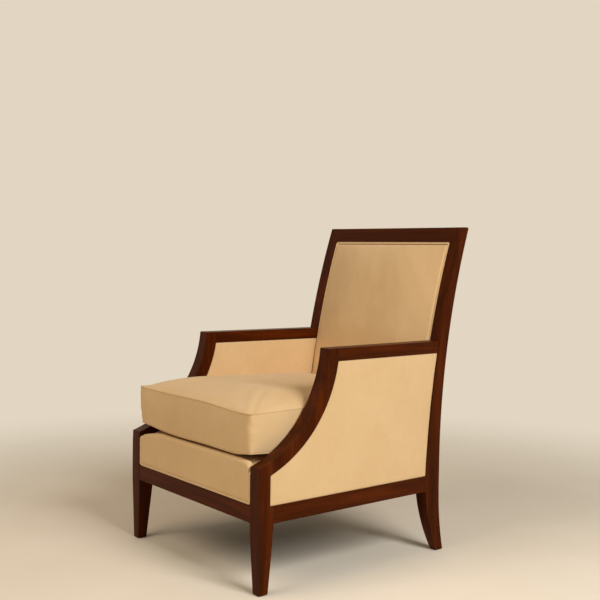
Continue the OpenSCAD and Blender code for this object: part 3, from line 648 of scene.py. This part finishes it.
def top_wander(u, v):
    """How the top seam strays up and down: it sags at the left front corner and ripples all round."""
    front, rear = near(v, -1, SEAM_REACH), near(v, 1, SEAM_REACH)
    left, right = near(u, 1, SEAM_REACH), near(u, -1, SEAM_REACH)
    front_sag = -0.0045 * near(u, 0.80, 0.42)
    left_sag = -0.0042 * near(v, -0.8, 0.34)
    z = front * (front_sag + 0.0008 * math.sin(5.1 * u + 0.6) + 0.002 * near(u, -1, 0.15))
    z += left * (left_sag + 0.0012 * math.sin(6.3 * v + 1.1)) * (1 - front)
    z += right * 0.0018 * math.sin(5.2 * v - 0.7) * (1 - front)
    z += rear * 0.0016 * math.sin(4.7 * u + 1.9)
    return z


def bottom_wander(u, v):
    """How the bottom seam strays: it lifts at the front corners, and a little at the rear ones."""
    front = near(v, -1, BOTTOM_REACH)
    right_lift = 0.010 * near(u, -1, 0.30)
    left_lift = 0.007 * near(u, 1, 0.16)
    rear_lift = 0.003 * near(abs(u), 1, 0.15) * near(v, 1, SEAM_REACH)
    return front * (right_lift + left_lift + 0.0008 * math.sin(7.0 * u)) + (1 - front) * rear_lift


def crown(u, v, power):
    """1 in the middle and 0 on the outline, with rounded squares between them that are rounder inside."""
    sharp = CROWN_ROUND + CROWN_SQUARE * max(abs(u), abs(v)) ** CROWN_SQUARE_POWER
    out = (abs(u) ** sharp + abs(v) ** sharp) ** (1 / sharp)
    return 1 - min(out, 1.0) ** power


points, faces, index = [], [], {}


def add_point(key, x, y, z):
    """Add a point of the cushion whose y is from the front, under a key."""
    index[key] = len(points)
    points.append((x, y - HALF_DEPTH, z))


def plan(i, j):
    """u and v, from -1 to 1, of a point of the grid over the cushion."""
    return 2 * j / CELLS - 1, 2 * i / CELLS - 1


for i in range(CELLS + 1):
    for j in range(CELLS + 1):
        u, v = plan(i, j)
        x, y = cushion_outline(u, v, SEAM_CORNER)
        seam_share = max(abs(u), abs(v)) ** 5
        rise = TOP_CROWN - CROWN_FALL * (v + 1) / 2
        z = TOP_SEAM + rise * crown(u, v, TOP_POWER) + top_wander(u, v) * seam_share
        z += TOP_UNEVEN * wave(x, y, seed=2.0) * (1 - seam_share)
        add_point(("top", i, j), x, y, z)
rim = [(0, j) for j in range(CELLS)] + [(i, CELLS) for i in range(CELLS)]
rim += [(CELLS, j) for j in range(CELLS, 0, -1)] + [(i, 0) for i in range(CELLS, 0, -1)]
rim_place = {cell: k for k, cell in enumerate(rim)}
for k, (i, j) in enumerate(rim):
    index["side", k, 0] = index["top", i, j]
    u, v = plan(i, j)
    high = TOP_SEAM + top_wander(u, v)
    x, y = cushion_outline(u, v, SEAM_CORNER, 1.0)
    low = CUSHION_BOTTOM - deck_give(x, y) + BOTTOM_RISE + bottom_wander(u, v)
    for level in range(1, BOX_CELLS + 1):
        f = level / BOX_CELLS
        arch = math.sin(math.pi * f)
        sharp = SEAM_CORNER + (BOXING_CORNER - SEAM_CORNER) * min(1.0, BOXING_ROUNDING * arch)
        x, y = cushion_outline(u, v, sharp, f)
        away = Vector((x, y - CUSHION_MID)).normalized()
        bulge = BULGE + CORNER_BULGE * far_corner(u, v)
        out = (bulge + SIDE_UNEVEN * wave(x + y, high * f, seed=5.0)) * arch
        add_point(("side", k, level), x + away.x * out, y + away.y * out, high + (low - high) * f)
for i in range(CELLS + 1):
    for j in range(CELLS + 1):
        u, v = plan(i, j)
        if (i, j) in rim_place:
            index["bottom", i, j] = index["side", rim_place[i, j], BOX_CELLS]
            continue
        x, y = cushion_outline(u, v, SEAM_CORNER, 1.0)
        rise = (BOTTOM_RISE + bottom_wander(u, v)) * (1 - crown(u, v, BOTTOM_POWER))
        add_point(("bottom", i, j), x, y, CUSHION_BOTTOM - deck_give(x, y) + rise)
for i in range(CELLS):
    for j in range(CELLS):
        for name in ("top", "bottom"):
            faces.append([index[name, a, b] for a, b in ((i, j), (i, j + 1), (i + 1, j + 1), (i + 1, j))])
for k in range(len(rim)):
    beside = (k + 1) % len(rim)
    for level in range(BOX_CELLS):
        faces.append([index["side", k, level], index["side", beside, level],
                      index["side", beside, level + 1], index["side", k, level + 1]])
cushion = add_mesh("seat_cushion_cover", points, faces, "cushion", suede, "upholstery")
top_loop = [index["side", k, 0] for k in range(len(rim))]
bottom_loop = [index["side", k, BOX_CELLS] for k in range(len(rim))]
pins = set(top_loop) | set(bottom_loop)
pins |= {index["bottom", i, j] for i in range(CELLS + 1) for j in range(CELLS + 1)}
shaped = swell(cushion, pins, PRESSURE, MOST_SWELL, SPARE_CLOTH)


def inside_frame(p):
    """The point moved back where it would press into an arm or into the inside back."""
    x, y, z = p[0], p[1] + HALF_DEPTH, p[2]
    if y > arm_front(z) - ARM_NEAR:
        side = side_x(y, MEMBER_W) - ARM_CLEAR
        x = min(max(x, -side), side)
    rear = stile_y(max(z, DECK_TOP)) - BACK_CROWN - BACK_CLEAR
    return x, min(y, rear) - HALF_DEPTH, z


shaped = np.array([inside_frame(p) for p in shaped])
set_points(cushion, shaped)
smoother = cushion.modifiers.new("smooth_surface", "SUBSURF")
smoother.levels = 1
smoother.render_levels = 1
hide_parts("seat_cushion")


RIDGE_SIDES = 8
RIDGE_SUNK = 0.1


def seam_ridge(name, loop, radius):
    """Thin lip of cover where two pieces are sewn together along a closed loop."""
    path = [Vector(shaped[i]) for i in loop]
    middle = sum(path, Vector()) / len(path)
    normals = []
    for p in path:
        away = p - middle
        away.z = 0
        normals.append(away.normalized())
    turns = [2 * math.pi * t / RIDGE_SIDES for t in range(RIDGE_SIDES)]
    profile = [(radius * math.cos(a), radius * math.sin(a) - radius * RIDGE_SUNK) for a in turns]
    made = sweep(path, normals, profile, closed=True)
    return add_mesh(name, *made, "cushion", suede_seam, "upholstery")


seam_ridge("cushion_top_seam", top_loop, 0.0011)
seam_ridge("cushion_bottom_seam", bottom_loop, 0.0013)


# Arm panels: one grid from the arm support to the back stile, with rolled edges
ARM_ROWS = 56
ARM_COLUMNS = 84
PULL = 0.00055
PULL_FADE = 0.035
UNEVEN = 0.0005
DOME_POWER = 0.6


def support_edge(z):
    """Rear edge of the front leg or of the arm support at height z."""
    if z <= HEEL_Z:
        return POST_D
    return support_c[0] + math.sqrt(SUPPORT_R ** 2 - (z - support_c[1]) ** 2)


def stile_edge(z):
    """Front edge of the rear leg or of the stile at height z."""
    return SEAT_DEPTH if z <= FLAT_HIGH else stile_y(z)


def dome(s, t):
    """Crown of a stuffed panel: 1 in its middle and 0 at its edges, for s and t from 0 to 1."""
    return (4 * s * (1 - s)) ** DOME_POWER * (4 * t * (1 - t)) ** DOME_POWER


def arm_panel(name, side, low, depth_face, depth_back, edge, edge_r, crown_height, inward):
    """side is 1 for the left and -1 for the right. inward is true where the face looks to the sitter."""
    front, back = [], []
    for t in spread(ARM_ROWS):
        z = low + SOFT_GAP + (ARM_UNDER - low - 2 * SOFT_GAP) * t
        y0, y1 = support_edge(z) + SOFT_GAP, stile_edge(z) - SOFT_GAP
        row, behind = [], []
        for s in spread(ARM_COLUMNS):
            y = y0 + (y1 - y0) * s
            to_front = y - POST_D
            if z > HEEL_Z:
                to_front = math.hypot(y - support_c[0], z - support_c[1]) - SUPPORT_R
            to_rear = SEAT_DEPTH - y
            if z > FLAT_HIGH:
                to_rear = math.hypot(y - stile_c[0], z - stile_c[1]) - STILE_R
            round_edge = 1.0
            for d in (to_front, to_rear, z - low, ARM_UNDER - z):
                round_edge *= roll(d, edge_r)
            folds = math.sin(y * 210 + 2.2 * math.sin(y * 47))
            pull = PULL * math.exp(-(ARM_UNDER - z) / PULL_FADE) * folds
            uneven = UNEVEN * wave(y, z, seed=1.0 if side > 0 else 4.0)
            rise = -edge * (1 - round_edge) + (crown_height * dome(s, t) + pull + uneven) * round_edge
            depth = depth_face + rise if inward else depth_face - rise
            row.append(placed(side * side_x(y, depth), y, z))
            behind.append(placed(side * side_x(y, depth_back), y, z))
        front.append(row)
        back.append(behind)
    obj = add_mesh(name, *slab(front, back), "frame", suede, "upholstery")
    return obj


PANEL_FACE = 0.0015
PANEL_BACK = 0.0093
PAD_OUT = 0.0255
PAD_FACE = 0.0412
INSIDE_ARM_LOW = 0.2998
for side, word in ((1, "left"), (-1, "right")):
    outer = arm_panel(f"outside_arm_{word}_cover", side, RAIL_TOP, PANEL_FACE, PANEL_BACK,
                      edge=0.0030, edge_r=0.0070, crown_height=0.0022, inward=False)
    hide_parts(f"outside_arm_{word}")
    inner = arm_panel(f"inside_arm_{word}_cover", side, INSIDE_ARM_LOW, PAD_FACE, PAD_OUT,
                      edge=0.0022, edge_r=0.0035, crown_height=0.0012, inward=True)
    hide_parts(f"inside_arm_{word}")


# Inside back: a crowned pad on the curve of the stiles
def stile_normal(z):
    """Unit normal of the stiles' front face at height z, toward the sitter."""
    y = stile_y(z)
    way = Vector((0, y - stile_c[0], z - stile_c[1])).normalized()
    return way if way.y < 0 else -way


BACK_LOW = DECK_TOP + SOFT_GAP
BACK_INSET = SOFT_GAP + WELT_W + 2 * WELT_ROOM
BACK_HALF = INNER_REAR_X - BACK_INSET
BACK_HIGH = CREST_UNDER - BACK_INSET
SEAT_BACK_LOW = 0.49
SEAT_BACK_HIGH = 0.64
BACK_TOP_RUN = 0.110
BACK_SIDE = 0.0015
BACK_FULL = 0.024
FLAT_SHARE = 0.28
TILT_SHARE = 0.74
BACK_ROWS = 84
BACK_COLUMNS = 80
BACK_EDGE_R = 0.006
BACK_TOP_R = 0.005
BACK_GROOVE = 0.0014
BACK_UNEVEN = 0.0006
BACK_PAD_T = 0.009


def ease(f):
    """Smooth step from 0 to 1."""
    f = min(max(f, 0.0), 1.0)
    return f * f * (3 - 2 * f)


def across_back(t):
    """Fall of the pad from its middle, at t from 0 there to 1 at a side: flat, then bent, then tilted."""
    bend = TILT_SHARE - FLAT_SHARE
    whole = bend / 2 + 1 - TILT_SHARE
    if t < FLAT_SHARE:
        return 0.0
    if t < TILT_SHARE:
        return (t - FLAT_SHARE) ** 2 / (2 * bend) / whole
    return (bend / 2 + t - TILT_SHARE) / whole


def back_height(x, z):
    """Height of the pad above the front of the stiles: full above the cushion, less behind it."""
    above = ease((z - SEAT_BACK_LOW) / (SEAT_BACK_HIGH - SEAT_BACK_LOW))
    full = BACK_CROWN + (BACK_FULL - BACK_CROWN) * above
    full = BACK_SIDE + (full - BACK_SIDE) * roll(BACK_HIGH - z, BACK_TOP_RUN)
    return full - (full - BACK_SIDE) * across_back(abs(x) / BACK_HALF)


front, back = [], []
for t in spread(BACK_ROWS):
    z = BACK_LOW + (BACK_HIGH - BACK_LOW) * t
    row, behind = [], []
    for s in spread(BACK_COLUMNS):
        x = BACK_HALF * (2 * s - 1)
        round_edge = roll(BACK_HALF - abs(x), BACK_EDGE_R) * roll(z - BACK_LOW, BACK_EDGE_R)
        round_edge *= roll(BACK_HIGH - z, BACK_TOP_R)
        height = back_height(x, z) + BACK_UNEVEN * wave(x, z, seed=3.0)
        rise = -BACK_GROOVE * (1 - round_edge) + height * round_edge
        y = stile_y(z)
        row.append(placed(x, y, z) + stile_normal(z) * rise)
        behind.append(placed(x, y + BACK_PAD_T, z))
    front.append(row)
    back.append(behind)
inside_back = add_mesh("inside_back_cover", *slab(front, back), "frame", suede, "upholstery")
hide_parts("inside_back")


# Double welt: two cords of cover side by side along the edge of a panel
CORD_STEPS = 6
CORD_FOOT = 0.25
WELT_SUNK = 0.6
ARC_STEPS = 8


def double_welt(width, height):
    """Profile of a welt: two half-round cords that stand on one strip."""
    profile = []
    for half in (-1, 1):
        for k in range(CORD_STEPS + 1):
            a = math.pi * k / CORD_STEPS
            across = half * width / 4 - math.cos(a) * width / 4
            profile.append((across, height * (CORD_FOOT + (1 - CORD_FOOT) * math.sin(a))))
    profile += [(width / 2, -height * WELT_SUNK), (-width / 2, -height * WELT_SUNK)]
    return profile


def rounded_path(corners, radius, step):
    """Points along straight runs between 2-D corners, with an arc at each inner corner."""
    path = []
    last = np.array(corners[0], float)
    for before, corner, after in zip(corners, corners[1:], corners[2:]):
        corner = np.array(corner, float)
        into = (corner - before) / np.linalg.norm(np.subtract(corner, before))
        out = (after - corner) / np.linalg.norm(np.subtract(after, corner))
        start, stop = corner - into * radius, corner + out * radius
        count = max(2, int(np.linalg.norm(start - last) / step))
        path += [last + (start - last) * k / count for k in range(count)]
        for k in range(ARC_STEPS):
            f = k / ARC_STEPS
            path.append(start * (1 - f) ** 2 + 2 * corner * f * (1 - f) + stop * f * f)
        last = stop
    end = np.array(corners[-1], float)
    count = max(2, int(np.linalg.norm(end - last) / step))
    path += [last + (end - last) * k / count for k in range(count + 1)]
    return path


BACK_WELT_H = 0.0042
BACK_WELT_IN = 0.0045
FRONT_WELT_H = 0.0038
FRONT_WELT_IN = 0.0042
WELT_END = 0.303
END_BEND = 0.006
BEND_STEPS = 6
mid_welt = SOFT_GAP + WELT_W / 2
x_welt = INNER_REAR_X - mid_welt
z_welt = CREST_UNDER - mid_welt
corners = [(-x_welt, BACK_LOW), (-x_welt, z_welt), (x_welt, z_welt), (x_welt, BACK_LOW)]
flat_path = rounded_path(corners, radius=0.0045, step=0.008)
path = [placed(x, stile_y(z) + BACK_WELT_IN, z) for x, z in flat_path]
normals = [stile_normal(z) for x, z in flat_path]
shape = sweep(path, normals, double_welt(WELT_W, BACK_WELT_H))
welt = add_mesh("back_double_welt", *shape, "frame", suede_welt_painted_highlight, "upholstery")
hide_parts("back_welt")

# The front welt's ends bend back over the panel's corners
x_post = side_x(0, MEMBER_W) - mid_welt
z_low = RAIL_TOP + mid_welt
corners = [(x_post, WELT_END), (x_post, z_low), (-x_post, z_low), (-x_post, WELT_END)]
path = [placed(x, FRONT_WELT_IN, z) for x, z in rounded_path(corners, radius=0.006, step=0.010)]
normals = [Vector((0, -1, 0))] * len(path)
bend, turned = [], []
for k in range(BEND_STEPS, 0, -1):
    a = math.pi / 2 * k / BEND_STEPS
    y = FRONT_WELT_IN + END_BEND * (1 - math.cos(a))
    bend.append(placed(x_post, y, WELT_END + END_BEND * math.sin(a)))
    turned.append(Vector((0, -math.cos(a), math.sin(a))))
path = bend + path + [Vector((-p.x, p.y, p.z)) for p in reversed(bend)]
normals = turned + normals + turned[::-1]
shape = sweep(path, normals, double_welt(WELT_W, FRONT_WELT_H))
welt = add_mesh("front_double_welt", *shape, "frame", suede_welt_painted_highlight, "upholstery")
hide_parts("front_panel_welt")

# Front panel: a face that rolls over the front of the deck, lower at its two ends
FRONT_HALF = side_x(0, MEMBER_W) - SOFT_GAP - WELT_W - WELT_ROOM
FRONT_LOW = RAIL_TOP + WELT_W + 2 * SOFT_GAP
FRONT_BACK_Y = 0.0135
FRONT_ROWS = 40
FRONT_COLUMNS = 96
FRONT_FULL = 0.0028
FRONT_SUNK = 0.0015
FRONT_EDGE_R = 0.012
EVEN_EDGE = 0.03
ROLL_R = 0.0095
ROLL_LENGTH = ROLL_R * math.pi / 2
END_CORNER = 0.011
front, back = [], []
for s in spread(FRONT_COLUMNS):
    x = FRONT_HALF * (2 * s - 1)
    to_end = FRONT_HALF - abs(x)
    top = DECK_TOP - end_drop(x, FRONT_HALF, NEAR_END if x > 0 else FAR_END) - deck_give(x, 0.0)
    top -= END_CORNER * (1 - roll(to_end, END_CORNER))
    row, behind = [], []
    face = top - ROLL_R - FRONT_LOW
    length = face + ROLL_LENGTH + (FRONT_BACK_Y - REVEAL - ROLL_R)
    for k in range(FRONT_ROWS + 1):
        run = length * k / FRONT_ROWS
        a = min(max(run - face, 0.0) / ROLL_R, math.pi / 2)
        z = FRONT_LOW + min(run, face) + ROLL_R * math.sin(a)
        out = FRONT_FULL * roll(to_end, FRONT_EDGE_R) * roll(run, FRONT_EDGE_R)
        out += UNEVEN * wave(x, z, seed=7.0) * roll(to_end, EVEN_EDGE)
        y = REVEAL + ROLL_R * (1 - math.cos(a)) + max(run - face - ROLL_LENGTH, 0.0)
        row.append(placed(x, y - (out - FRONT_SUNK) * math.cos(a), z))
        behind.append(placed(x, FRONT_BACK_Y, z))
    front.append(row)
    back.append(behind)
front_cover = add_mesh("front_panel_cover", *slab(front, back), "frame", suede, "upholstery")
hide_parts("front_panel")

# Deck under the cushion
DECK_CELLS = 40
DECK_EDGE = 0.008
DECK_EDGE_R = 0.012
DECK_FRONT_R = 0.035
deck_low, deck_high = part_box("deck_pad")
front, back = [], []
for t in spread(DECK_CELLS):
    y = deck_low.y + (deck_high.y - deck_low.y) * t
    from_front = y + HALF_DEPTH
    half = side_x(from_front, MEMBER_W) - SOFT_GAP
    if from_front > SEAT_DEPTH - FLUSH:
        half = INNER_REAR_X - SOFT_GAP
    row, behind = [], []
    for s in spread(DECK_CELLS):
        x = half * (2 * s - 1)
        edge = roll(half - abs(x), DECK_EDGE_R) * roll(y - deck_low.y, DECK_FRONT_R)
        edge *= roll(deck_high.y - y, DECK_EDGE_R)
        z = deck_high.z - DECK_EDGE * (1 - edge) - deck_give(x, from_front)
        ends = DECK_NEAR_END if x > 0 else DECK_FAR_END
        z -= end_drop(x, FRONT_HALF, ends) * max(0.0, 1 - from_front / DROP_DEPTH)
        row.append((x, y, z))
        behind.append((x, y, deck_low.z))
    front.append(row)
    back.append(behind)
deck = add_mesh("deck_cover", *slab(front, back), "frame", suede, "upholstery")
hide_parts("deck_pad")


# Outside back
def back_face_y(z):
    """Rear face of the back stiles at height z."""
    if z <= BACK_FLAT_HIGH:
        return SEAT_DEPTH + REAR_LEG_D
    return stile_back_c[0] - math.sqrt(STILE_BACK_R ** 2 - (z - stile_back_c[1]) ** 2)


OUTER_ROWS = 80
OUTER_COLUMNS = 64
OUTER_EDGE_R = 0.008
OUTER_EDGE = 0.003
OUTER_CROWN = 0.003
OUTER_BACK_T = 0.005
low, high = RAIL_TOP + SOFT_GAP, CREST_UNDER - SOFT_GAP
half = INNER_REAR_X - SOFT_GAP
front, back = [], []
for t in spread(OUTER_ROWS):
    z = low + (high - low) * t
    row, behind = [], []
    for s in spread(OUTER_COLUMNS):
        x = half * (2 * s - 1)
        round_edge = 1.0
        for d in (half - abs(x), z - low, high - z):
            round_edge *= roll(d, OUTER_EDGE_R)
        height = OUTER_CROWN * dome(s, t) + UNEVEN * wave(x, z, seed=9.0)
        y = back_face_y(z) - REVEAL - OUTER_EDGE * (1 - round_edge) + height * round_edge
        row.append(placed(x, y, z))
        behind.append(placed(x, back_face_y(z) - OUTER_BACK_T, z))
    front.append(row)
    back.append(behind)
outside_back = add_mesh("outside_back_cover", *slab(front, back), "frame", suede, "upholstery")
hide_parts("outside_back")

# Floor that fades into the pale background
REACH = 9
FADE_FROM = 0.8
FADE_TO = 2.6
floor_mesh = bpy.data.meshes.new("floor")
floor_corners = [(-REACH, -REACH, 0), (REACH, -REACH, 0), (REACH, REACH, 0), (-REACH, REACH, 0)]
floor_mesh.from_pydata(floor_corners, [], [(0, 1, 2, 3)])
floor = bpy.data.objects.new("floor", floor_mesh)
scene.collection.objects.link(floor)
floor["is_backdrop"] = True
BACKGROUND = linear(226, 214, 194)
shader = Shader("floor", Roughness=0.85, Specular_IOR_Level=0.1)
grain = shader.noise(shader.mapped(EVEN), scale=3.0, detail=3.0)
shader.link(shader.ramp(grain, [(0.3, linear(242, 232, 214)), (0.7, linear(246, 237, 221))]), "Base Color")
tree = shader.tree
distance = tree.nodes.new("ShaderNodeVectorMath")
distance.operation = "LENGTH"
tree.links.new(shader.position, distance.inputs[0])
fade = tree.nodes.new("ShaderNodeMapRange")
fade.interpolation_type = "SMOOTHSTEP"
fade.inputs["From Min"].default_value = FADE_FROM
fade.inputs["From Max"].default_value = FADE_TO
tree.links.new(distance.outputs["Value"], fade.inputs["Value"])
clear = tree.nodes.new("ShaderNodeBsdfTransparent")
mixed = tree.nodes.new("ShaderNodeMixShader")
tree.links.new(fade.outputs["Result"], mixed.inputs[0])
tree.links.new(shader.bsdf.outputs[0], mixed.inputs[1])
tree.links.new(clear.outputs[0], mixed.inputs[2])
tree.links.new(mixed.outputs[0], tree.nodes["Material Output"].inputs["Surface"])
floor_mesh.materials.append(shader.material)

# World: soft light all round, and the pale background for the camera, glossy and clear rays
WARM = (1.0, 0.84, 0.66)
PLAIN = (1.0, 0.99, 0.97)
world = bpy.data.worlds.new("studio")
scene.world = world
world.use_nodes = True
tree = world.node_tree
light = tree.nodes["Background"]
light.inputs["Color"].default_value = (*WARM, 1.0)
light.inputs["Strength"].default_value = 0.26
seen = tree.nodes.new("ShaderNodeBackground")
seen.inputs["Color"].default_value = BACKGROUND
seen.inputs["Strength"].default_value = 1.0
rays = tree.nodes.new("ShaderNodeLightPath")
sees_backdrop = rays.outputs["Is Camera Ray"]
for kind in ("Is Glossy Ray", "Is Transmission Ray"):
    either = tree.nodes.new("ShaderNodeMath")
    either.operation = "MAXIMUM"
    tree.links.new(sees_backdrop, either.inputs[0])
    tree.links.new(rays.outputs[kind], either.inputs[1])
    sees_backdrop = either.outputs[0]
mixed = tree.nodes.new("ShaderNodeMixShader")
tree.links.new(sees_backdrop, mixed.inputs[0])
tree.links.new(light.outputs[0], mixed.inputs[1])
tree.links.new(seen.outputs[0], mixed.inputs[2])
tree.links.new(mixed.outputs[0], tree.nodes["World Output"].inputs["Surface"])


def area_light(name, location, target, size, power, colour):
    """A round lamp that faces a target, with its size in metres and its power in watts."""
    data = bpy.data.lights.new(name, "AREA")
    data.shape = "DISK"
    data.size = size
    data.energy = power
    data.color = colour
    lamp = bpy.data.objects.new(name, data)
    lamp.location = location
    lamp.rotation_euler = (Vector(target) - Vector(location)).to_track_quat("-Z", "Y").to_euler()
    scene.collection.objects.link(lamp)


area_light("key_light", (2.8, -0.3, 2.6), (0, 0, 0.45), size=1.1, power=55.0, colour=PLAIN)
area_light("side_light", (3.0, 0.3, 1.75), (0, 0, 0.45), size=0.8, power=26.0, colour=PLAIN)
area_light("fill_light", (0.0, -2.6, 2.9), (0, 0, 0.4), size=2.2, power=40.0, colour=WARM)

# Camera at the photograph's place, solved from the chair's edges
CAMERA_PLACE = (2.344176, -1.806270, 0.867568)
AZIMUTH = 0.916293
PITCH = 0.049341
ROLL = 0.013326
FOCAL_PX = 1006.07
IMAGE_PX = 600
level_forward = Vector((-math.sin(AZIMUTH), math.cos(AZIMUTH), 0))
forward = level_forward * math.cos(PITCH) - Vector((0, 0, math.sin(PITCH)))
level_right = Vector((math.cos(AZIMUTH), math.sin(AZIMUTH), 0))
level_up = level_right.cross(forward)
right = level_right * math.cos(ROLL) + level_up * math.sin(ROLL)
up = level_up * math.cos(ROLL) - level_right * math.sin(ROLL)
camera_data = bpy.data.cameras.new("camera")
camera_data.sensor_width = 36.0
camera_data.lens = FOCAL_PX / IMAGE_PX * camera_data.sensor_width
camera = bpy.data.objects.new("camera", camera_data)
turn = Matrix((right, up, -forward)).transposed()
camera.matrix_world = Matrix.Translation(CAMERA_PLACE) @ turn.to_4x4()
scene.collection.objects.link(camera)
scene.camera = camera

scene.view_settings.view_transform = "Standard"

low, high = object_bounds()
